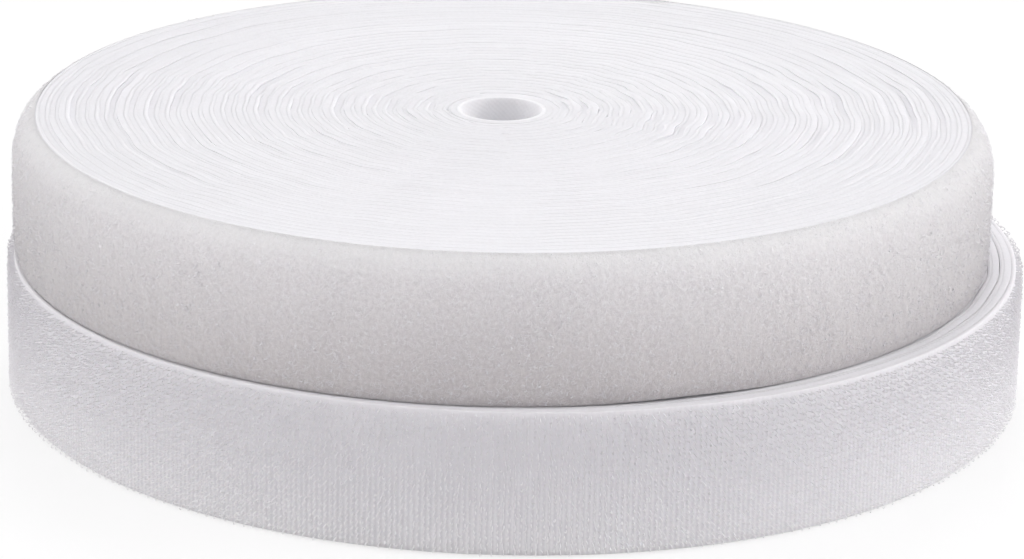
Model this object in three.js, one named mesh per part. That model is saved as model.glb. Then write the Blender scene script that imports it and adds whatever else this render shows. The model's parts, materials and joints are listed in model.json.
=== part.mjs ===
// A pair of wound fastener tapes: a roll of loop tape stacked on a roll of hook tape.
// Each roll is one long woven strip wound on itself without a core, its pile on the outside.
// Millimetres, +Z up. The origin lies on the hook roll's axis, at the level that it stands on.

import * as THREE from "three";

// Driving dimensions of the tape
const tapeWidth = 25;
const webbingThickness = 0.65;
const loopPileHeight = 0.73;
const hookPileHeight = 0.83;
const selvedge = 2.4;
const tailLength = 69;

// Driving dimensions of the rolls
const eyeRadius = 5.8;
const loopRollShiftX = -2.5;
const loopRollShiftY = -0.8;

// Clearances
const bondGap = 0.15;
const layerGap = 0.45;
const cutGap = 0.3;
const stackGap = 0.3;

// Counts: each loop of a winding stands for a pair of tape layers
const windingLoops = 20;
const stepsPerLoop = 24;
const stepsPerOuterTurn = 72;
const stepsPerTailPiece = 3;
const tailPieces = ["root", "middle", "tip"];

// Where each tape's cut end lies, seen from above, counted from +X
const loopTapeEnd = THREE.MathUtils.degToRad(112);
const hookTapeEnd = THREE.MathUtils.degToRad(126);

const fullTurn = 2 * Math.PI;

// Colours and roughness of the three surfaces
const webbingFinish = { color: 0xf1f1f3, roughness: 0.8 };
const loopPileFinish = { color: 0xf6f6f8, roughness: 1 };
const hookPileFinish = { color: 0xeeeef0, roughness: 0.55 };

function pointAt(radius, angle) {
  return new THREE.Vector2(radius * Math.cos(angle), radius * Math.sin(angle));
}

// The two sides of a strip seen on edge, for a range of turns along the tape
function sidesOf(path, from, to, steps) {
  const sides = { inner: [], outer: [] };
  for (let step = 0; step <= steps; step++) {
    const turn = from + ((to - from) * step) / steps;
    sides.inner.push(pointAt(path.innerRadius(turn), path.angle(turn)));
    sides.outer.push(pointAt(path.outerRadius(turn), path.angle(turn)));
  }
  return sides;
}

// A strip standing on edge: its outline seen from above, raised to the strip's width
function standingStrip(sides, width, lift) {
  const outline = new THREE.Shape([...sides.outer, ...sides.inner.toReversed()]);
  const geometry = new THREE.ExtrudeGeometry(outline, { depth: width, bevelEnabled: false });
  return geometry.translate(0, 0, lift);
}

function webbingStrip(sides) {
  return standingStrip(sides, tapeWidth, 0);
}

function pileStrip(sides) {
  return standingStrip(sides, tapeWidth - 2 * selvedge, selvedge);
}

// Least distance from each loop's outer side to the inner side of the loop wound over it
function leastGap(sides) {
  let least = Infinity;
  const nearest = new THREE.Vector3();
  for (let i = 0; i + stepsPerLoop < sides.inner.length; i++) {
    const point = new THREE.Vector3(sides.outer[i].x, sides.outer[i].y, 0);
    const over = sides.inner.slice(i + stepsPerLoop - 1, i + stepsPerLoop + 2);
    for (let k = 0; k + 1 < over.length; k++) {
      const start = new THREE.Vector3(over[k].x, over[k].y, 0);
      const end = new THREE.Vector3(over[k + 1].x, over[k + 1].y, 0);
      new THREE.Line3(start, end).closestPointToPoint(point, true, nearest);
      least = Math.min(least, point.distanceTo(nearest));
    }
  }
  return least;
}

// Radii and angles along one tape, from its first turn round the eye to its cut end
function layOut(pileHeight, tapeEnd) {
  const thickness = webbingThickness + bondGap + pileHeight;
  const pitch = thickness + layerGap;
  const windingStart = eyeRadius + pitch;
  const angleBefore = (last, turn) => tapeEnd + fullTurn * (turn - last);

  const firstTurn = {
    innerRadius: () => eyeRadius,
    outerRadius: () => eyeRadius + thickness,
    angle: (turn) => angleBefore(windingLoops, turn),
  };

  // The pair of layers opens from one over the first loop and closes to one over the last
  const layers = (turn) => 1 + Math.min(1, turn, windingLoops - turn);
  const innerRadius = (turn) => windingStart + pitch * (turn + Math.max(0, turn - 1));
  const winding = {
    innerRadius,
    outerRadius: (turn) => innerRadius(turn) + pitch * layers(turn) - layerGap,
    angle: (turn) => angleBefore(windingLoops, turn),
  };

  // The outer turn lies over the last loop, one tape layer thick
  const outerTurnStart = winding.outerRadius(windingLoops - 1) + layerGap;
  const webbingInner = (turn) => outerTurnStart + pitch * turn;
  const webbingOuter = (turn) => webbingInner(turn) + webbingThickness;
  const angle = (turn) => angleBefore(1, turn);
  const webbing = { innerRadius: webbingInner, outerRadius: webbingOuter, angle };
  const pile = {
    innerRadius: (turn) => webbingOuter(turn) + bondGap,
    outerRadius: (turn) => webbingInner(turn) + thickness,
    angle,
  };

  const turnLength = fullTurn * webbingOuter(1);
  return { firstTurn, winding, webbing, pile, turnLength };
}

function addPiece(group, name, geometry, finish) {
  const material = new THREE.MeshStandardMaterial({ ...finish, metalness: 0 });
  const piece = new THREE.Mesh(geometry, material);
  piece.name = name;
  group.add(piece);
}

// The free end of the tape: short lengths, each hinged to the one before at the pile's face
function addTail(roll, tape, route, bodyTurns) {
  const pieceTurns = (1 - bodyTurns) / tailPieces.length;
  const cutTurns = cutGap / route.turnLength;
  let parent = roll;
  let parentHinge = new THREE.Vector2();
  tailPieces.forEach((part, i) => {
    const start = bodyTurns + i * pieceTurns;
    const from = start + cutTurns / 2;
    const to = start + pieceTurns - cutTurns / 2;
    const hinge = pointAt(route.pile.outerRadius(start), route.pile.angle(start));
    const group = new THREE.Group();
    group.name = `${tape.name}_tail_${part}_hinge`;
    group.position.set(hinge.x - parentHinge.x, hinge.y - parentHinge.y, 0);
    parent.add(group);

    const webbing = webbingStrip(sidesOf(route.webbing, from, to, stepsPerTailPiece));
    const pile = pileStrip(sidesOf(route.pile, from, to, stepsPerTailPiece));
    webbing.translate(-hinge.x, -hinge.y, 0);
    pile.translate(-hinge.x, -hinge.y, 0);
    addPiece(group, `${tape.name}_tail_${part}_webbing`, webbing, webbingFinish);
    addPiece(group, `${tape.name}_tail_${part}_pile`, pile, tape.finish);
    parent = group;
    parentHinge = hinge;
  });
}

function makeRoll(tape) {
  const roll = new THREE.Group();
  roll.name = `${tape.name}_roll`;
  const route = layOut(tape.pileHeight, tape.end);

  const slit = cutGap / (fullTurn * eyeRadius);
  const firstSides = sidesOf(route.firstTurn, slit, 1, stepsPerLoop);
  addPiece(roll, `${tape.name}_first_turn`, webbingStrip(firstSides), webbingFinish);

  const windingSides = sidesOf(route.winding, 0, windingLoops, windingLoops * stepsPerLoop);
  addPiece(roll, `${tape.name}_winding`, webbingStrip(windingSides), webbingFinish);
  console.log(`${tape.name}_winding: least gap to itself ${leastGap(windingSides).toFixed(3)} mm`);

  const bodyTurns = 1 - tailLength / route.turnLength;
  const bodyEnd = bodyTurns - cutGap / route.turnLength / 2;
  const bodySteps = Math.ceil(bodyTurns * stepsPerOuterTurn);
  const webbingSides = sidesOf(route.webbing, 0, bodyEnd, bodySteps);
  const pileSides = sidesOf(route.pile, 0, bodyEnd, bodySteps);
  addPiece(roll, `${tape.name}_outer_turn_webbing`, webbingStrip(webbingSides), webbingFinish);
  addPiece(roll, `${tape.name}_outer_turn_pile`, pileStrip(pileSides), tape.finish);

  addTail(roll, tape, route, bodyTurns);
  return roll;
}

const hookRoll = makeRoll({
  name: "hook",
  pileHeight: hookPileHeight,
  end: hookTapeEnd,
  finish: hookPileFinish,
});

const loopRoll = makeRoll({
  name: "loop",
  pileHeight: loopPileHeight,
  end: loopTapeEnd,
  finish: loopPileFinish,
});
loopRoll.position.set(loopRollShiftX, loopRollShiftY, tapeWidth + stackGap);

const tapeRolls = new THREE.Group();
tapeRolls.name = "tape_rolls";
tapeRolls.add(hookRoll, loopRoll);

export default tapeRolls;
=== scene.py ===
"""White hook and loop tape: a roll of loop tape stacked on a roll of hook tape, dressed for the camera.

Each roll is one strip of woven ground tape wound on itself round a bare eye, with its pile outside.
Places along a tape are counted in turns, out from the end of the first turn round the eye.
"""

import json
import math

import bpy
import numpy as np
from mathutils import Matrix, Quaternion, Vector


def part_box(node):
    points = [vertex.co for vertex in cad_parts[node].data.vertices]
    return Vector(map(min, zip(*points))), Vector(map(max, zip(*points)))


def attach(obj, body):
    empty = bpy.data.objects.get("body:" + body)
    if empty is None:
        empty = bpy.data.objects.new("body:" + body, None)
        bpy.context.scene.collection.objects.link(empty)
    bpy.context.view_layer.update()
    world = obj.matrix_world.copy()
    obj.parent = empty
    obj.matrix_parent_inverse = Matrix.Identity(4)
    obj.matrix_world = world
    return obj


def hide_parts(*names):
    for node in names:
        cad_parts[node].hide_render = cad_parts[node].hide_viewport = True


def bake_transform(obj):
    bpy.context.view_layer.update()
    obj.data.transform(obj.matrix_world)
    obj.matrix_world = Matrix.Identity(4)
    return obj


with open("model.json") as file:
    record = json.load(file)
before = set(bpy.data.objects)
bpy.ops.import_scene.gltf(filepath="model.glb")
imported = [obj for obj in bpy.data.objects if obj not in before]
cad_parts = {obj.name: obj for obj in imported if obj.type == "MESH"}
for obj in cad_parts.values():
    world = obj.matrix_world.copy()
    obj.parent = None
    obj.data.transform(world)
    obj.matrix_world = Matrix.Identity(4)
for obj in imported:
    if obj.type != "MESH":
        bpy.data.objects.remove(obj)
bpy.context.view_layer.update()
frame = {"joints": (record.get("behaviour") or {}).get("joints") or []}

MM = 0.001
FULL_TURN = 2 * math.pi

# Photograph's frame and the camera that it gives
FRAME_WIDTH_PX = 1024
FOCAL_PX = 4400
CAMERA_DISTANCE = 800 * MM
CAMERA_ELEVATION = math.radians(17.82)
CAMERA_ROLL = math.radians(1.1)
AIM_DROP = 6.9 * MM

# The tape, in the sizes that the solids are wound to
EYE_RADIUS = 5.8 * MM
TAIL_LENGTH = 69 * MM
WOUND_TURNS = 39
LAST_TURN = WOUND_TURNS + 1

# The woven ground: thickness with the yarns' relief, rounded edges, and how far the last turn waves
GROUND = 0.8 * MM
EDGE_ROUND = 0.11 * MM
OUTER_RISE = 0.06 * MM

# The wound pile: how deep it lies, its rounded edges, its clearances, and the slit that opens beside it
PILE_SINK = 0.07 * MM
PILE_ROUND = 0.05 * MM
BOND_GAP = 0.01 * MM
TURN_GAP = 0.012 * MM
SLIT = 0.02 * MM

# The field of hooks: its bare margin, the spacing of the hooks, and how far they are out of line
HOOK_MARGIN = 0.8 * MM
HOOK_COLUMNS = 0.92 * MM
HOOK_ROWS = 1.05 * MM
HOOK_JITTER = 0.11 * MM
HOOK_TWIST = 0.3
HOOK_UNEVENNESS = 0.05

# Height of one hook as it is drawn, and how deep the hooks on a pressed layer start below its face
HOOK_HEIGHT = 1.2 * MM
PRESSED_HOOK_DEPTH = 0.7 * MM

# The brushed pile's edges: bare margins, and how far its shoulders reach from them
NAP_MARGIN = 0.02 * MM
NAP_TOP_SHOULDER = 7.0 * MM
NAP_LOW_SHOULDER = 4.0 * MM
NAP_LOW_DEPTH = 0.55

# The brushed pile's face: its least depth, its relief, and the share of the relief at its edges
NAP_LEAST = 0.03 * MM
NAP_CLUMPS = 0.06 * MM
NAP_STRANDS = 0.09 * MM
NAP_DRIFT = 0.06 * MM
NAP_EDGE_RELIEF = 0.25
NAP_BUMP = 0.35 * MM

# How far down and over how many turns the upper edges give way at eye and rim, and what stays stiff
EYE_REACH = 6.0 * MM
EYE_TURNS = 4
RIM_REACH = 8.5 * MM
RIM_TURNS = 14
STIFF_EDGE = 0.4 * MM

# How far the turns stray sideways, how many settle at the end, and how uneven front and back stay
SIDEWAYS = 0.45 * MM
SETTLED_TURNS = 3
LEVEL_SHARE = 0.1

# Heights in millimetres, from either edge, of the rows of points up a strip's faces
WOUND_ROWS = (6.0,)
FACE_ROWS = (1.0, 2.0, 3.0, 4.2, 5.6, 7.2, 9.0)

# How finely the strips are stepped
WOUND_STEP = 2.0 * MM
EYE_STEPS = 96
OUTER_STEPS = 1480
NAP_ROWS = 58
SHARP_EDGE = math.radians(40)

# How far before its first hinge the free end's first stretch starts
TAIL_LEAD = 9 * MM


def random_numbers(seed):
    return np.random.default_rng(seed)


def smooth_noise(shape, passes, seed):
    """A field of seeded noise, blurred along each axis by that axis's number of passes, about -1 to 1."""
    field = random_numbers(seed).standard_normal(shape)
    for axis, count in enumerate(passes):
        for _ in range(count):
            field = (np.roll(field, 1, axis) + 2 * field + np.roll(field, -1, axis)) / 4
    return field / (2 * field.std())


def ease(x):
    x = np.clip(x, 0, 1)
    return x * x * (3 - 2 * x)


def shoulder(x):
    """A quarter round: 0 at 0, level at 1 and held after it."""
    return np.sqrt(1 - (1 - np.clip(x, 0, 1)) ** 2)


class Tape:
    """One wound tape: where a place on it lies in space."""

    def __init__(self, name, pile_height, axis, end_angle, rim_lean, eye_flare, unevenness, drop, swells):
        self.name = name
        low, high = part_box(f"{name}_winding")
        self.base = low.z
        self.width = high.z - low.z
        self.axis = axis
        self.end_angle = end_angle
        self.pitch = pile_height + GROUND
        self.start_radius = EYE_RADIUS + self.pitch
        self.rim_lean = rim_lean
        self.eye_flare = eye_flare
        self.unevenness = unevenness
        self.drop = drop
        self.swells = swells

    def radius(self, turn):
        return self.start_radius + self.pitch * turn

    def length(self, turn):
        """Tape wound from turn 0 to this turn."""
        return FULL_TURN * turn * (self.start_radius + self.pitch * turn / 2)

    def turn_at(self, length):
        """The turn that this length of tape reaches."""
        start = self.start_radius
        return (np.sqrt(start * start + 2 * self.pitch * length / FULL_TURN) - start) / self.pitch

    def turns_of(self, length):
        """Turns that a length of tape takes on the outside of the roll."""
        return length / (FULL_TURN * self.radius(LAST_TURN))

    def angle(self, turn):
        return self.end_angle + FULL_TURN * (turn - LAST_TURN)

    def lean(self, turn, height):
        """The upper edges give way: the eye's rim opens a little, and the last turns settle inwards."""
        from_top = np.maximum(self.width - height, STIFF_EDGE)
        eye_bend = np.clip(1 - from_top / EYE_REACH, 0, 1) ** 2
        rim_bend = 1 - shoulder(from_top / RIM_REACH)
        near_eye = np.exp(-np.maximum(turn, 0) / EYE_TURNS)
        near_rim = ease(1 - (LAST_TURN - turn) / RIM_TURNS)
        return self.eye_flare * eye_bend * near_eye - self.rim_lean * rim_bend * near_rim

    def lift(self, turn, height):
        """The lower edge settles on what is below, and stands off it here and there on the last turns."""
        lower = np.clip(1 - height / self.width, 0, 1) ** 6
        last_turns = 2
        outside = ease(turn - WOUND_TURNS + last_turns)
        rise = -self.drop
        for angle, reach, swell in self.swells:
            away = np.remainder(self.angle(turn) - angle + math.pi, FULL_TURN) - math.pi
            rise = rise + swell * outside * np.exp(-((away / reach) ** 2))
        return lower * rise

    def points(self, turn, out, height):
        """Points on the tape: out from the ground's inner face, height above the tape's lower edge."""
        radius = self.radius(turn) + out + self.lean(turn, height)
        angle = self.angle(turn)
        x = self.axis.x + radius * np.cos(angle)
        y = self.axis.y + radius * np.sin(angle)
        z = self.base + height + self.lift(turn, height)
        return np.stack(np.broadcast_arrays(x, y, z), axis=-1)


class Socket:
    """A value in a node tree. Arithmetic on it adds Math nodes."""

    def __init__(self, nodes, socket):
        self.nodes = nodes
        self.socket = socket

    def math(self, operation, *others):
        values = dict(enumerate((self, *others)))
        return self.nodes.node("ShaderNodeMath", {"operation": operation}, values)

    def __add__(self, other):
        return self.math("ADD", other)

    def __sub__(self, other):
        return self.math("SUBTRACT", other)

    def __rsub__(self, other):
        return self.nodes.node("ShaderNodeMath", {"operation": "SUBTRACT"}, {0: other, 1: self})

    def __mul__(self, other):
        return self.math("MULTIPLY", other)

    __radd__ = __add__
    __rmul__ = __mul__

    def wave(self, period):
        """A sine wave of this period, from -1 to 1."""
        return (self * (FULL_TURN / period)).math("SINE")

    def between(self, low, high):
        """0 at low to 1 at high, held at both ends."""
        values = {"Value": self, "From Min": low, "From Max": high}
        return self.nodes.node("ShaderNodeMapRange", {"clamp": True}, values)


class Nodes:
    """A node tree that is built by one method."""

    def __init__(self, tree):
        self.tree = tree

    def node(self, kind, settings=None, values=None, output=0):
        """Adds a node: its settings first, then the values or links of its sockets."""
        made = self.tree.nodes.new(kind)
        for name, value in (settings or {}).items():
            setattr(made, name, value)
        for name, value in (values or {}).items():
            if isinstance(value, Socket):
                self.tree.links.new(value.socket, made.inputs[name])
            else:
                made.inputs[name].default_value = value
        return Socket(self, made.outputs[output])

    def show(self, shader, output_node):
        self.tree.links.new(shader.socket, self.tree.nodes[output_node].inputs["Surface"])

    def seen_directly(self):
        """1 for rays from the camera, and for those that it sees in a gloss or through glass."""
        camera, glossy, through = (
            self.node("ShaderNodeLightPath", output=kind)
            for kind in ("Is Camera Ray", "Is Glossy Ray", "Is Transmission Ray")
        )
        return camera.math("MAXIMUM", glossy).math("MAXIMUM", through)


class Finish(Nodes):
    """A material and the nodes that make its pattern."""

    def __init__(self, name, constants):
        self.material = bpy.data.materials.new(name)
        self.material.use_nodes = True
        super().__init__(self.material.node_tree)
        self.shader = self.tree.nodes["Principled BSDF"]
        for socket, value in constants.items():
            self.shader.inputs[socket].default_value = value

    def feed(self, socket, value):
        self.tree.links.new(value.socket, self.shader.inputs[socket])

    def tape_place(self):
        """Place on the tape: its millimetres along and across the tape."""
        return self.node("ShaderNodeUVMap", {"uv_map": "tape"})

    def along(self, place):
        return self.node("ShaderNodeSeparateXYZ", None, {"Vector": place}, "X")

    def across(self, place):
        return self.node("ShaderNodeSeparateXYZ", None, {"Vector": place}, "Y")

    def noise(self, place, scale, detail=2.0, roughness=0.5):
        values = {"Vector": place, "Scale": scale, "Detail": detail, "Roughness": roughness}
        return self.node("ShaderNodeTexNoise", {"noise_dimensions": "2D"}, values)

    def mix_colors(self, share, first, second):
        values = {"Factor": share, 6: first, 7: second}
        return self.node("ShaderNodeMix", {"data_type": "RGBA"}, values, 2)

    def bump(self, height, depth):
        """Relief of this depth on the surface."""
        values = {"Height": height, "Distance": depth, "Strength": 1.0}
        self.feed("Normal", self.node("ShaderNodeBump", None, values))


# Nylon whites, as linear colours
GROUND_WHITE = (0.860, 0.855, 0.895, 1)
GROUND_SHADE = (0.770, 0.762, 0.792, 1)
# Painted light: a whiter ground for each eye's first turn, so that the shaded bore looks lit
EYE_PAINTED_LIGHT_WHITE = (0.940, 0.936, 0.958, 1)
# Painted light: the hook ground's whitest white, reached near its lower edge, stands in for light from the
# floor on the roll's foot
HOOK_GROUND_PAINTED_LIGHT = (0.975, 0.970, 0.985, 1)
NAP_WHITE = (0.975, 0.965, 0.985, 1)
NAP_SHADE = (0.745, 0.728, 0.748, 1)
# Painted shade: the nap's darker colours low down on the loop roll's wall
NAP_PAINTED_SHADE_PALE = (0.620, 0.588, 0.592, 1)
NAP_PAINTED_SHADE_DARK = (0.450, 0.420, 0.424, 1)
# Painted highlight: the nap's white upper edge, where light falls on its shoulder
NAP_PAINTED_HIGHLIGHT = (0.980, 0.975, 0.985, 1)
# Filament greys and whites: mixed by random streaks and by painted shade with height
FILAMENT_WHITE = (0.965, 0.960, 0.975, 1)
FILAMENT_SHADE = (0.720, 0.712, 0.734, 1)

# Millimetres across the tape, up from its lower edge, between which the whites change: painted light and
# shade in all but the pressed edge
GROUND_PAINTED_SHADE_SPAN = (-1.5, 26.5)
NAP_PAINTED_SHADE_SPAN = (-4.0, 26.0)
NAP_PAINTED_HIGHLIGHT_SPAN = (20.5, 27.0)
PRESSED_EDGE = (25.7, 26.0)
# Painted shade: hooks grey at the top and white at the foot; loose yarn grey low down, following the nap
HOOK_PAINTED_SHADE_SPAN = (24.0, 0.0)
YARN_PAINTED_SHADE_SPAN = (2.0, 30.0)


def glow(weight):
    """Light that spreads inside the white yarns."""
    return {
        "Subsurface Weight": weight,
        "Subsurface Radius": (1.0, 0.94, 0.94),
        "Subsurface Scale": 1.2 * MM,
    }


def woven_ground(name, shade, white, rib_spacing=None, painted_shade_above=0.0):
    """Plain-woven nylon: warp yarns along the tape, weft across it, a little uneven.

    It lies in ribs if it has a rib spacing, with painted shade in their valleys. The last argument is how
    much painted shade greys it towards the upper edge, leaving its foot whiter as if lit from the floor.
    """
    warp_spacing, weft_spacing = 0.42, 0.56
    finish = Finish(name, {"Sheen Weight": 0.1, **glow(0.6)})
    place = finish.tape_place()
    along, across = finish.along(place), finish.across(place)
    yarns = along.wave(2 * weft_spacing) * across.wave(2 * warp_spacing) * 0.5 + 0.5
    slubs = finish.noise(place, 0.6, 3.0)
    soil = finish.noise(place, 0.05, 2.0)
    share = yarns * 0.25 + slubs * 0.4 + soil * 0.35
    relief = yarns * 0.5 + slubs * 0.5
    # Ribs: relief, and painted shade darkening their valleys at the spacing of the hook columns
    if rib_spacing:
        ribs = along.wave(rib_spacing) * 0.5 + 0.5
        share = share * 0.6 + ribs * 0.4
        relief = relief * 0.4 + ribs * 0.6
    # Painted shade: greyer towards the upper edge, whiter at the foot where light off the floor falls
    share = share - across.between(*GROUND_PAINTED_SHADE_SPAN) * painted_shade_above
    finish.feed("Base Color", finish.mix_colors(share, shade, white))
    finish.feed("Roughness", slubs * 0.2 + 0.7)
    finish.bump(relief, 0.04 * MM)
    return finish.material


def loop_nap(name, pressed_edge=None):
    """Brushed loop pile: a soft matted nap in small clumps, with painted shade greying it low down and a
    painted highlight whitening its upper edge.

    The colour of a pressed edge is for pile whose upper edge shows between two turns.
    """
    finish = Finish(name, {"Sheen Weight": 1.0, "Sheen Roughness": 0.4, **glow(0.3)})
    place = finish.tape_place()
    across = finish.across(place)
    clumps = finish.noise(place, 1.5, 3.0, 0.6)
    strands = finish.noise(place, 4.5, 4.0, 0.65)
    share = (clumps * 0.6 + strands * 0.5).between(0.3, 0.75)
    # Painted shade: darker colours low down, where shade falls by the roll below
    low = finish.mix_colors(share, NAP_PAINTED_SHADE_DARK, NAP_PAINTED_SHADE_PALE)
    high = finish.mix_colors(share, NAP_SHADE, NAP_WHITE)
    body = finish.mix_colors(across.between(*NAP_PAINTED_SHADE_SPAN), low, high)
    # Painted highlight: whiter along the upper edge, where light falls on the shoulder
    color = finish.mix_colors(across.between(*NAP_PAINTED_HIGHLIGHT_SPAN), body, NAP_PAINTED_HIGHLIGHT)
    if pressed_edge:
        color = finish.mix_colors(across.between(*PRESSED_EDGE), color, pressed_edge)
    finish.feed("Base Color", color)
    finish.feed("Roughness", strands * 0.15 + 0.85)
    finish.bump(clumps * 0.4 + strands * 0.6, NAP_BUMP)
    return finish.material


def pressed_pile(name):
    """Edge of the pile where it is pressed between two turns: as white as the ground, finely matted."""
    finish = Finish(name, {"Sheen Weight": 0.1, **glow(0.6)})
    place = finish.tape_place()
    clumps = finish.noise(place, 0.7, 3.0, 0.6)
    soil = finish.noise(place, 0.05, 2.0)
    share = clumps * 0.5 + soil * 0.5
    finish.feed("Base Color", finish.mix_colors(share, GROUND_SHADE, GROUND_WHITE))
    finish.feed("Roughness", clumps * 0.15 + 0.8)
    finish.bump(clumps, 0.10 * MM)
    return finish.material


def nylon_filament(name, painted_shade_span):
    """Bare nylon monofilament, slightly glossy, with painted shade that takes it from grey to white between
    two heights.
    """
    finish = Finish(name, {})
    place = finish.tape_place()
    streaks = finish.noise(place, 0.8, 2.0)
    share = (streaks - 0.5) * 0.6 + finish.across(place).between(*painted_shade_span)
    finish.feed("Base Color", finish.mix_colors(share.between(0.0, 1.0), FILAMENT_SHADE, FILAMENT_WHITE))
    finish.feed("Roughness", streaks * 0.2 + 0.45)
    return finish.material


def signed_volume(points, quads):
    """Negative if the faces look inwards."""
    a, b, c, d = (points[quads[:, k]] for k in range(4))
    first = np.einsum("ij,ij->i", a, np.cross(b, c))
    second = np.einsum("ij,ij->i", a, np.cross(c, d))
    return (first + second).sum()


def make_piece(name, points, quads, caps, places, material):
    """A mesh object from points and faces, with each point's place on the tape as its map."""
    if signed_volume(points, quads) < 0:
        quads = quads[:, ::-1]
        caps = [cap[::-1] for cap in caps]
    mesh = bpy.data.meshes.new(name)
    mesh.from_pydata(points.tolist(), [], quads.tolist() + [list(cap) for cap in caps])
    corners = np.empty(len(mesh.loops), dtype=np.int32)
    mesh.loops.foreach_get("vertex_index", corners)
    mesh.uv_layers.new(name="tape").data.foreach_set("uv", places[corners].ravel())
    mesh.shade_smooth()
    mesh.set_sharp_from_angle(angle=SHARP_EDGE)
    mesh.materials.append(material)
    piece = bpy.data.objects.new(name, mesh)
    bpy.context.scene.collection.objects.link(piece)
    return piece


def tube_faces(steps, sides, endless=False):
    """Quads and end caps of a tube made of rings of points. An endless one has no caps."""
    step = np.arange(steps if endless else steps - 1)[:, None]
    side = np.arange(sides)[None, :]
    here, ahead = step * sides, (step + 1) % steps * sides
    following = (side + 1) % sides
    corners = (here + side, here + following, ahead + following, ahead + side)
    quads = np.stack(corners, axis=-1).reshape(-1, 4)
    first = list(range(sides - 1, -1, -1))
    last = [(steps - 1) * sides + k for k in range(sides)]
    return quads, [] if endless else [first, last]


def strip_piece(name, tape, turns, out, height, material, endless=False):
    """A solid strip along the tape. Each row of out and height is its section at one turn.

    The map of an endless one runs out and back, so that it meets itself.
    """
    steps, sides = out.shape
    points = tape.points(turns[:, None], out, height).reshape(-1, 3)
    quads, caps = tube_faces(steps, sides, endless)
    along = tape.length(turns) / MM
    if endless:
        along = np.abs(along - along.mean())
    ring = np.stack([out.mean(0), height.mean(0)], axis=-1)
    ring_steps = np.linalg.norm(np.diff(ring, axis=0, prepend=ring[:1]), axis=1)
    across = np.cumsum(ring_steps) / MM
    places = np.stack([np.repeat(along, sides), np.tile(across, steps)], axis=-1).astype(np.float32)
    return make_piece(name, points, quads, caps, places, material)


def mirrored(out, height, width, first):
    """A section from its lower half. The ring of points starts at the one whose number is given."""
    outs = np.array(out + out[::-1])
    heights = np.array(height + [width - h for h in height[::-1]])
    return np.roll(outs, -first), np.roll(heights, -first)


def ground_section(tape, rows):
    """Section of the woven ground, with rounded edges and rows of points up its faces: out and height."""
    r = EDGE_ROUND
    faces = [row * MM for row in rows]
    out = [0] * len(rows) + [0, r / 3, GROUND / 2, GROUND - r / 3, GROUND] + [GROUND] * len(rows)
    height = faces[::-1] + [r, 0.6 * r, 0, 0.6 * r, r] + faces
    lowest = height.index(0)
    return mirrored(out, height, tape.width, lowest)


def pile_section(tape, rows):
    """Section of the pile in a wound layer, pressed against the next layer."""
    inner = GROUND + BOND_GAP
    outer = tape.pitch - TURN_GAP
    r = PILE_ROUND
    low = PILE_SINK
    faces = [row * MM for row in rows]
    out = [inner] * len(rows) + [inner, outer - r, outer - 0.3 * r, outer] + [outer] * len(rows)
    height = faces[::-1] + [low, low, low + 0.3 * r, low + r] + faces
    return mirrored(out, height, tape.width, len(rows))


def turn_noise(turns, passes_along, passes_across, seed):
    """Seeded noise along the winding, blurred along the tape and across from turn to turn."""
    per_turn = 240
    field = random_numbers(seed).standard_normal((WOUND_TURNS + 1) * per_turn)
    for shift, passes in ((1, passes_along), (per_turn, passes_across)):
        for _ in range(passes):
            field = (np.roll(field, shift) + 2 * field + np.roll(field, -shift)) / 4
    return np.interp(turns * per_turn, np.arange(len(field)), field / (2 * field.std()))


def winding(tape, name, section, material, slit, seed, start=0, stop=WOUND_TURNS):
    """A strip through the turns between the first and the last, each a little out of true.

    Its outer side stands off the next turn by an uneven slit. It may start and stop on the way.
    """
    steps = int(tape.length(WOUND_TURNS) / WOUND_STEP)
    turns = tape.turn_at(np.linspace(0, tape.length(WOUND_TURNS), steps))
    out, height = section
    settled = ease((WOUND_TURNS - turns) / SETTLED_TURNS)
    at_sides = np.cos(tape.angle(turns)) ** 4
    uneven = tape.unevenness * (LEVEL_SHARE + (1 - LEVEL_SHARE) * at_sides)
    rise = uneven * turn_noise(turns, passes_along=24, passes_across=0, seed=seed) * settled
    sideways = SIDEWAYS * turn_noise(turns, passes_along=4, passes_across=60, seed=seed + 1) * settled
    at_edges = (np.abs(height / tape.width - 0.5) * 2) ** 4
    gape = slit * np.clip(2 * turn_noise(turns, passes_along=4, passes_across=0, seed=seed + 2), 0, 2)
    outer_side = out > GROUND + slit
    outs = out[None, :] + sideways[:, None] * at_edges[None, :] - gape[:, None] * outer_side[None, :]
    heights = height[None, :] + rise[:, None] * (height / tape.width)[None, :]
    kept = slice(np.searchsorted(turns, start), np.searchsorted(turns, stop) + 1)
    return strip_piece(f"{tape.name}_{name}", tape, turns[kept], outs[kept], heights[kept], material)


def first_turn(tape, kind, section, material):
    """The tape's own start: the round turn that bounds the eye."""
    turns = np.linspace(-1, 0, EYE_STEPS, endpoint=False)
    out, height = section
    outs = out[None, :] - tape.pitch * (1 + turns[:, None])
    heights = np.tile(height, (EYE_STEPS, 1))
    return strip_piece(f"{tape.name}_eye_{kind}", tape, turns, outs, heights, material, endless=True)


def eye_wedge(tape, material):
    """Pile that fills the room between the round first turn and the spiral that starts over it."""
    thin_end, thick_end = 0.025, 0.9995
    turns = np.linspace(thin_end, thick_end, EYE_STEPS)[:, None]
    clear = 0.02 * MM
    inner = clear - tape.pitch * turns
    outer = np.full_like(turns, -clear)
    middle = (inner + outer) / 2
    outs = np.concatenate([inner, middle, outer, outer, middle, inner], axis=1)
    crown = 0.1 * MM
    low = [PILE_SINK + crown, PILE_SINK, PILE_SINK + crown]
    heights = np.array(low + [tape.width - h for h in low])
    name = f"{tape.name}_eye_wedge"
    return strip_piece(name, tape, turns[:, 0], outs, np.tile(heights, (EYE_STEPS, 1)), material)


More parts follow.
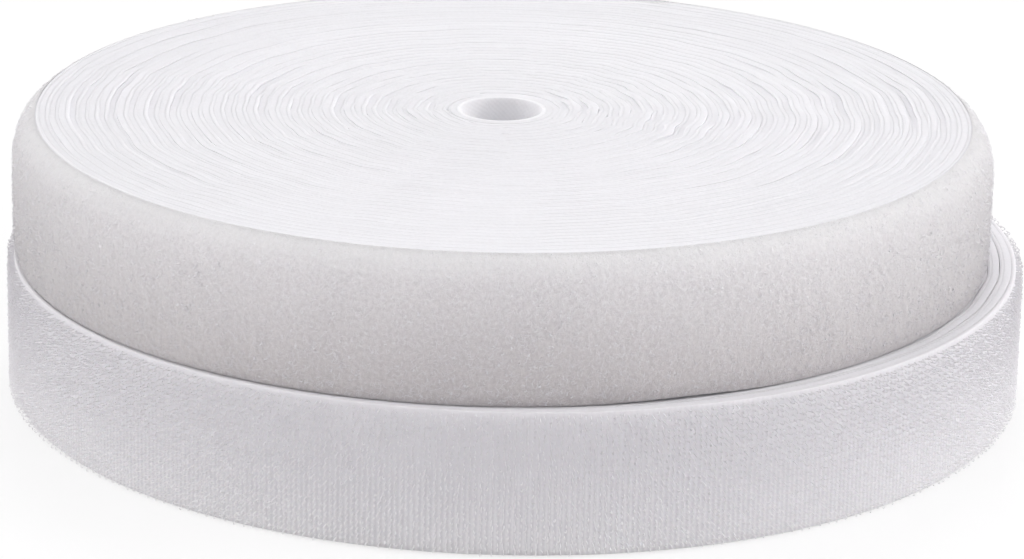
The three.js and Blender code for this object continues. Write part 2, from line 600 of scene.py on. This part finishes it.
def outer_turns():
    return np.linspace(WOUND_TURNS, LAST_TURN, OUTER_STEPS + 1)


def ground_sections(tape, seed):
    """Sections of the last turn's woven ground, from where it starts to the cut end.

    It starts level with the winding, and over a quarter turn comes to wave a little.
    """
    out, height = ground_section(tape, FACE_ROWS)
    count = OUTER_STEPS + 1
    waving = ease((outer_turns() - WOUND_TURNS) * 4)
    rise = OUTER_RISE * smooth_noise((count,), (900,), seed) * waving
    return np.tile(out, (count, 1)), height[None, :] + rise[:, None] * (height / tape.width)[None, :]


def nap_crown(tape, height):
    """Share of the pile's full depth at a height: soft shoulders, fuller at the lower edge."""
    top = shoulder((tape.width - NAP_MARGIN - height) / NAP_TOP_SHOULDER)
    low = np.clip((height - NAP_MARGIN) / NAP_LOW_SHOULDER, 0, 1)
    return top * (1 - (1 - NAP_LOW_DEPTH) * (1 - low) ** 2)


def level_crown(tape, height):
    """Pile that another turn has pressed flat keeps its full depth at every height, on any tape."""
    return np.ones_like(height)


def nap_sections(tape, seed):
    """Sections of the brushed pile on the last turn: soft shoulders and a matted, clumpy face."""
    grid = (OUTER_STEPS + 1, NAP_ROWS)
    low, high = NAP_MARGIN, tape.width - NAP_MARGIN
    place = np.linspace(0, 1, NAP_ROWS)
    crowding = 0.06
    height = low + (high - low) * (place - crowding * np.sin(FULL_TURN * place))
    crown = nap_crown(tape, height)[None, :]
    clumps = NAP_CLUMPS * smooth_noise(grid, (14, 14), seed)
    strands = NAP_STRANDS * smooth_noise(grid, (1, 1), seed + 1)
    drift = NAP_DRIFT * smooth_noise(grid, (120, 40), seed + 2)
    relief = (clumps + strands + drift) * (NAP_EDGE_RELIEF + (1 - NAP_EDGE_RELIEF) * crown)
    outer = GROUND + NAP_LEAST + (tape.pitch - GROUND) * crown + relief
    inner_height = [high] + [tape.width - row * MM for row in FACE_ROWS] + [low]
    inner = np.full((len(outer), len(inner_height)), GROUND + BOND_GAP)
    outs = np.concatenate([outer, inner], axis=1)
    heights = np.concatenate([height, inner_height])
    return outs, np.tile(heights, (len(outer), 1))


def sweep(path, radius, sides):
    """A thin tube along a path of points (along, out, across): its points, quads and caps."""
    ways = np.gradient(path, axis=0)
    ways /= np.linalg.norm(ways, axis=1)[:, None]
    flat = np.cross(ways, [0.0, 0.0, 1.0])
    flat /= np.linalg.norm(flat, axis=1)[:, None]
    third = np.cross(ways, flat)
    around = np.linspace(0, FULL_TURN, sides, endpoint=False)[None, :, None]
    ring = np.cos(around) * flat[:, None] + np.sin(around) * third[:, None]
    points = (path[:, None] + radius * ring).reshape(-1, 3)
    return points, *tube_faces(len(path), sides)


def scatter(name, tape, shape, spots, material):
    """Copies of a small shape set on the tape. Each spot has its turn, out, height, spin and sizes."""
    points, quads, caps = shape
    count = len(spots["turn"])
    cos, sin = np.cos(spots["spin"])[:, None], np.sin(spots["spin"])[:, None]
    along = points[None, :, 0] * spots["reach"][:, None]
    rise = points[None, :, 1] * spots["rise"][:, None]
    across = np.tile(points[:, 2], (count, 1))
    ahead = along * cos - across * sin
    aside = along * sin + across * cos
    out = spots["out"][:, None] + rise
    turn = spots["turn"][:, None] + tape.turns_of(ahead)
    height = spots["height"][:, None] + aside
    placed = tape.points(turn, out, height).reshape(-1, 3)
    first_points = (np.arange(count) * len(points))[:, None, None]
    all_quads = (quads[None] + first_points).reshape(-1, 4)
    all_caps = [[k + first for k in cap] for first in first_points.ravel().tolist() for cap in caps]
    places = np.stack([tape.length(turn) / MM, (height + rise) / MM], axis=-1)
    places = places.reshape(-1, 2).astype(np.float32)
    return make_piece(name, placed, all_quads, all_caps, places, material)


def hook_shape():
    """One hook: a nylon filament that stands up from the ground and bends over."""
    path = [(0, -0.1), (0.02, 0.45), (0.07, 0.85), (0.24, 1.1), (0.46, 1.1), (0.58, 0.92), (0.6, 0.76)]
    return sweep(np.array([(along, out, 0) for along, out in path]) * MM, radius=0.085 * MM, sides=4)


def loose_loop_shape():
    """One loose loop of the pile: a fine arch of yarn with both feet in the nap."""
    angles = np.linspace(0, math.pi, 6)
    path = np.stack([-0.5 * np.cos(angles), np.sin(angles) - 0.15, 0.05 * np.sin(2 * angles)], axis=-1)
    return sweep(path * MM, radius=0.045 * MM, sides=3)


def knot_shape():
    """A small tangle of yarn that stands out of the nap."""
    path = [(-0.3, -0.1, 0), (-0.12, 0.16, 0.1), (0.12, 0.2, -0.1), (0.3, -0.1, 0.05)]
    return sweep(np.array(path) * MM, radius=0.13 * MM, sides=5)


def hook_spots(tape, turns, out, seed):
    """Hooks in columns across the tape between two turns, each column bent over the other way."""
    numbers = random_numbers(seed)
    start, end = (tape.length(turn) for turn in turns)
    columns = int((end - start) / HOOK_COLUMNS)
    rows = int((tape.width - 2 * HOOK_MARGIN) / HOOK_ROWS) + 1
    grids = np.meshgrid(np.arange(columns), np.arange(rows), indexing="ij")
    column, row = (grid.ravel() for grid in grids)
    count = len(column)
    jitter = HOOK_JITTER * numbers.standard_normal((2, count))
    first_row = (tape.width - HOOK_ROWS * (rows - 1)) / 2
    bend_over = np.where(column % 2 == 0, 0.5, -0.5) * math.pi
    stand = (tape.pitch - GROUND) / HOOK_HEIGHT
    return {
        "turn": tape.turn_at(start + (column + 0.5) * HOOK_COLUMNS + jitter[0]),
        "out": np.full(count, out),
        "height": first_row + row * HOOK_ROWS + jitter[1],
        "spin": bend_over + HOOK_TWIST * numbers.standard_normal(count),
        "reach": np.ones(count),
        "rise": stand * (1 + HOOK_UNEVENNESS * numbers.standard_normal(count)),
    }


def nap_spots(tape, turns, crown, count, reach, rise, seed):
    """Spots strewn over the pile's face between two turns.

    Reach and rise are the ranges of their sizes along the tape and out of it.
    """
    numbers = random_numbers(seed)
    margin = 0.4 * MM
    end_turns = 0.001
    height = numbers.uniform(margin, tape.width - margin, count)
    return {
        "turn": numbers.uniform(turns[0] + end_turns, turns[1] - end_turns, count),
        "out": GROUND + (tape.pitch - GROUND) * crown(tape, height),
        "height": height,
        "spin": numbers.uniform(0, FULL_TURN, count),
        "reach": numbers.uniform(*reach, count),
        "rise": numbers.uniform(*rise, count),
    }


def select(spots, low, high):
    """The spots that lie from one turn to another."""
    kept = (spots["turn"] >= low) & (spots["turn"] < high)
    return {name: values[kept] for name, values in spots.items()}


class Stretch:
    """A stretch of the last turn: where it starts and stops, what carries it, and its hinge, if it has one.
    """

    def __init__(self, name, start, stop, bodies, hinge_turn=None):
        self.name = name
        self.start = start
        self.stop = stop
        self.bodies = bodies
        self.hinge_turn = hinge_turn

    def steps(self, turns):
        first = int(np.abs(turns - self.start).argmin())
        last = int(np.abs(turns - self.stop).argmin())
        return slice(first, last + 1)


def stretches(tape):
    """The last turn cut into the part that stays on the roll and three stretches of the free end, each with
    a hinge.
    """
    tail = tape.turns_of(TAIL_LENGTH)
    root = LAST_TURN - tail
    middle = root + tail / 3
    tip = root + 2 * tail / 3
    lead = tape.turns_of(TAIL_LEAD)
    half = tail / 6
    bodies = [f"{tape.name}_{part}" for part in ("roll", "tail_root", "tail_middle", "tail_tip")]
    return [
        Stretch("outer_turn", WOUND_TURNS, root - lead, bodies[0:1]),
        Stretch("tail_root", root - lead, root + half, bodies[0:2], root),
        Stretch("tail_middle", middle - half, middle + half, bodies[1:3], middle),
        Stretch("tail_tip", tip - half, LAST_TURN, bodies[2:4], tip),
    ]


def carry(piece, tape, stretch):
    """The piece rides on its body; a piece on a stretch with a hinge only has its placing baked into its
    mesh.
    """
    if stretch.hinge_turn is None:
        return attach(piece, stretch.bodies[0])
    reach = tape.turns_of(TAIL_LEAD)
    start = Vector(tape.points(stretch.hinge_turn - reach, tape.pitch, 0.0))
    end = Vector(tape.points(stretch.hinge_turn + reach, tape.pitch, 0.0))
    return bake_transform(piece)


def dress_outer_turn(tape, layer, sections, finish, stands_for):
    """One layer of the last turn, ground or pile, on each of its stretches."""
    turns = outer_turns()
    out, height = sections
    for stretch in stretches(tape):
        steps = stretch.steps(turns)
        name = f"{tape.name}_{stretch.name}"
        piece = strip_piece(f"{name}_{layer}", tape, turns[steps], out[steps], height[steps], finish)
        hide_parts(f"{name}_{stands_for}")
        carry(piece, tape, stretch)


def dress_with_copies(tape, kind, shape, spots, finish, roll_pieces=1, stands_for_pile=False):
    """Hooks or loose loops on each stretch of the last turn, in several pieces on the roll itself."""
    for stretch in stretches(tape):
        pieces = roll_pieces if stretch.hinge_turn is None else 1
        cuts = np.linspace(stretch.start, stretch.stop, pieces + 1)
        name = f"{tape.name}_{stretch.name}"
        for number, (low, high) in enumerate(zip(cuts[:-1], cuts[1:]), start=1):
            piece = scatter(f"{name}_{kind}_{number}", tape, shape, select(spots, low, high), finish)
            if stands_for_pile and number == 1:
                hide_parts(f"{name}_pile")
            carry(piece, tape, stretch)


def bared_turns(tape):
    """The turns of the winding that the free end lays bare when it is peeled away."""
    return WOUND_TURNS - tape.turns_of(TAIL_LENGTH), WOUND_TURNS


def dress_roll(tape, eye_body, ground_finish, eye_finish, pile_finish, bare_finish, seed):
    """The first turn round the eye and the winding, each a strip of woven ground and one of pile."""
    bare = bared_turns(tape)[0]
    coarse_ground, fine_ground = ground_section(tape, WOUND_ROWS), ground_section(tape, FACE_ROWS)
    coarse_pile, fine_pile = pile_section(tape, WOUND_ROWS), pile_section(tape, FACE_ROWS)
    ground = winding(tape, "wound_ground", coarse_ground, ground_finish, 0.0, seed)
    eye = first_turn(tape, "ground", fine_ground, eye_finish)
    eye_pile = first_turn(tape, "pile", fine_pile, pile_finish)
    piles = [
        winding(tape, "wound_pile", coarse_pile, pile_finish, SLIT, seed, stop=bare),
        winding(tape, "bared_pile", fine_pile, bare_finish, SLIT, seed, start=bare),
        eye_wedge(tape, pile_finish),
    ]
    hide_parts(f"{tape.name}_winding")
    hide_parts(f"{tape.name}_first_turn")
    for piece in (eye, eye_pile):
        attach(piece, eye_body)
    for piece in (ground, *piles):
        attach(piece, f"{tape.name}_roll")


def dress_bared_pile(tape, kind, shape, spots, finish):
    """Hooks or loose loops on the stretch of the winding that the free end lays bare."""
    piece = scatter(f"{tape.name}_bared_{kind}", tape, shape, spots, finish)
    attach(piece, f"{tape.name}_roll")


def joint_named(name):
    return next(joint for joint in frame["joints"] if joint["name"] == name)


def make_camera():
    target = Vector((0, 0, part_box("hook_winding")[1].z))
    back = Vector((0, -math.cos(CAMERA_ELEVATION), math.sin(CAMERA_ELEVATION)))
    up = Vector((0, math.sin(CAMERA_ELEVATION), math.cos(CAMERA_ELEVATION)))
    data = bpy.data.cameras.new("camera")
    data.lens = data.sensor_width * FOCAL_PX / FRAME_WIDTH_PX
    data.clip_start = 0.05
    camera = bpy.data.objects.new("camera", data)
    camera.location = target + back * CAMERA_DISTANCE
    aim = target - up * AIM_DROP
    level = (aim - camera.location).to_track_quat("-Z", "Y")
    camera.rotation_mode = "QUATERNION"
    camera.rotation_quaternion = level @ Quaternion((0, 0, 1), CAMERA_ROLL)
    bpy.context.scene.collection.objects.link(camera)
    bpy.context.scene.camera = camera


def make_floor():
    """A wide pale floor, nearly white to the camera, that keeps part of the rolls' shadow."""
    half, level = 6.0, -0.2 * MM
    corners = [(-half, -half, level), (half, -half, level), (half, half, level), (-half, half, level)]
    mesh = bpy.data.meshes.new("floor")
    mesh.from_pydata(corners, [], [(0, 1, 2, 3)])
    floor = bpy.data.objects.new("floor", mesh)
    bpy.context.scene.collection.objects.link(floor)
    matte = {"Base Color": (0.95, 0.95, 0.95, 1), "Roughness": 1.0, "Specular IOR Level": 0.0}
    finish = Finish("pale_floor", matte)
    white = finish.node("ShaderNodeEmission", None, {"Color": (1, 1, 1, 1), "Strength": 1.0})
    lit = Socket(finish, finish.shader.outputs[0])
    white_share = 0.7
    share = finish.seen_directly() * white_share
    finish.show(finish.node("ShaderNodeMixShader", None, {0: share, 1: lit, 2: white}), "Material Output")
    mesh.materials.append(finish.material)


def make_world():
    """Even studio light from all round, a little warm, and a white background to the camera."""
    world = bpy.data.worlds.new("studio")
    bpy.context.scene.world = world
    world.use_nodes = True
    nodes = Nodes(world.node_tree)
    light = nodes.node("ShaderNodeBackground", None, {"Color": (1.0, 0.97, 0.97, 1), "Strength": 0.35})
    white = nodes.node("ShaderNodeBackground", None, {"Color": (1, 1, 1, 1), "Strength": 1.0})
    mixed = nodes.node("ShaderNodeMixShader", None, {0: nodes.seen_directly(), 1: light, 2: white})
    nodes.show(mixed, "World Output")


def make_lamp(name, place, target, size, power, color, spread=math.pi):
    """A soft round lamp that isn't seen itself."""
    data = bpy.data.lights.new(name, "AREA")
    data.shape = "DISK"
    data.size = size
    data.energy = power
    data.color = color
    data.spread = spread
    lamp = bpy.data.objects.new(name, data)
    lamp.visible_camera = False
    lamp.location = place
    lamp.rotation_mode = "QUATERNION"
    lamp.rotation_quaternion = (Vector(target) - Vector(place)).to_track_quat("-Z", "Y")
    bpy.context.scene.collection.objects.link(lamp)


bpy.context.scene.view_settings.view_transform = "Standard"
make_camera()
make_floor()
make_world()
middle = (0, 0, 0)
cool, warm, faintly_warm = (0.985, 0.985, 1), (1, 0.97, 0.97), (1, 0.98, 0.985)
make_lamp("overhead", (0, -0.3, 1.4), middle, size=1.6, power=8.4, color=cool)
make_lamp("back", (0, 0.8, 0.95), (0, 0.05, 0.05), size=0.6, power=4.8, color=cool)
make_lamp(
    "front_floor", (0, -0.56, 1.0), (0, -0.56, 0),
    size=0.4, power=2.2, color=warm, spread=math.radians(45),
)
for name, side, power in (("left", -1, 5.2), ("right", 1, 7.6)):
    place = (1.15 * side, 0.05, 0.3)
    make_lamp(f"{name}_side", place, middle, size=0.8, power=power, color=faintly_warm)

hook_tape = Tape(
    "hook", pile_height=1.28 * MM, axis=Vector((0, 0)), end_angle=math.radians(126),
    rim_lean=0.1 * MM, eye_flare=0.5 * MM, unevenness=0.03 * MM, drop=0.0, swells=[],
)
loop_axis = Vector(joint_named("loop_roll_turn")["pos_m"][:2])
loop_tape = Tape(
    "loop", pile_height=1.18 * MM, axis=loop_axis, end_angle=math.radians(112),
    rim_lean=4.0 * MM, eye_flare=1.8 * MM, unevenness=0.27 * MM, drop=0.23 * MM,
    swells=[
        (math.radians(-92), math.radians(13), -0.03 * MM),
        (math.radians(-69), math.radians(7), 0.35 * MM),
    ],
)

ribs = HOOK_COLUMNS / MM
# Painted shade on the hook ground: greyer up the tape, whiter at its foot, darker between the hook columns
hook_ground = woven_ground("hook_woven_ground", GROUND_SHADE, HOOK_GROUND_PAINTED_LIGHT, rib_spacing=ribs, painted_shade_above=1.0)
loop_ground = woven_ground("loop_woven_ground", GROUND_SHADE, GROUND_WHITE)
# Painted light: the eyes' first turns get a whiter ground, lightening the shade inside the bore
eye_ground = woven_ground("coated_ground_back", GROUND_WHITE, EYE_PAINTED_LIGHT_WHITE)
pressed_hooks = pressed_pile("pressed_hook_pile")
pressed_loops = pressed_pile("pressed_loop_pile")
nap = loop_nap("brushed_loop_nap")
bared_nap = loop_nap("bared_loop_nap", pressed_edge=GROUND_SHADE)
# Painted shade by height: hooks greyer up the tape and white at the foot, loose yarn greyer low down
hooks = nylon_filament("nylon_hooks", HOOK_PAINTED_SHADE_SPAN)
loose_yarn = nylon_filament("loose_loop_yarn", YARN_PAINTED_SHADE_SPAN)

dress_roll(hook_tape, "hook_roll", hook_ground, eye_ground, pressed_hooks, hook_ground, seed=11)
dress_roll(loop_tape, "loop_eye", loop_ground, eye_ground, pressed_loops, bared_nap, seed=21)
dress_outer_turn(hook_tape, "ground", ground_sections(hook_tape, seed=31), hook_ground, "webbing")
dress_outer_turn(loop_tape, "ground", ground_sections(loop_tape, seed=32), loop_ground, "webbing")
dress_outer_turn(loop_tape, "nap", nap_sections(loop_tape, seed=41), nap, "pile")

outer_turn = (WOUND_TURNS, LAST_TURN)
hook = hook_shape()
standing_hooks = hook_spots(hook_tape, outer_turn, GROUND, seed=51)
dress_with_copies(hook_tape, "hooks", hook, standing_hooks, hooks, roll_pieces=4, stands_for_pile=True)
pressed_in = hook_tape.pitch - PRESSED_HOOK_DEPTH
bared_hooks = hook_spots(hook_tape, bared_turns(hook_tape), pressed_in, seed=52)
dress_bared_pile(hook_tape, "hooks", hook, bared_hooks, hooks)

loop = loose_loop_shape()
loop_sizes = {"reach": (0.3, 1.1), "rise": (0.15, 0.5)}
loose_loops = nap_spots(loop_tape, outer_turn, nap_crown, count=26000, seed=61, **loop_sizes)
dress_with_copies(loop_tape, "loops", loop, loose_loops, loose_yarn, roll_pieces=4)
bared_loops = nap_spots(loop_tape, bared_turns(loop_tape), level_crown, count=3200, seed=62, **loop_sizes)
dress_bared_pile(loop_tape, "loops", loop, bared_loops, loose_yarn)

knot_sizes = {"reach": (0.5, 1.0), "rise": (0.5, 1.0)}
knots = nap_spots(loop_tape, outer_turn, nap_crown, count=1200, seed=71, **knot_sizes)
dress_with_copies(loop_tape, "knots", knot_shape(), knots, loose_yarn)
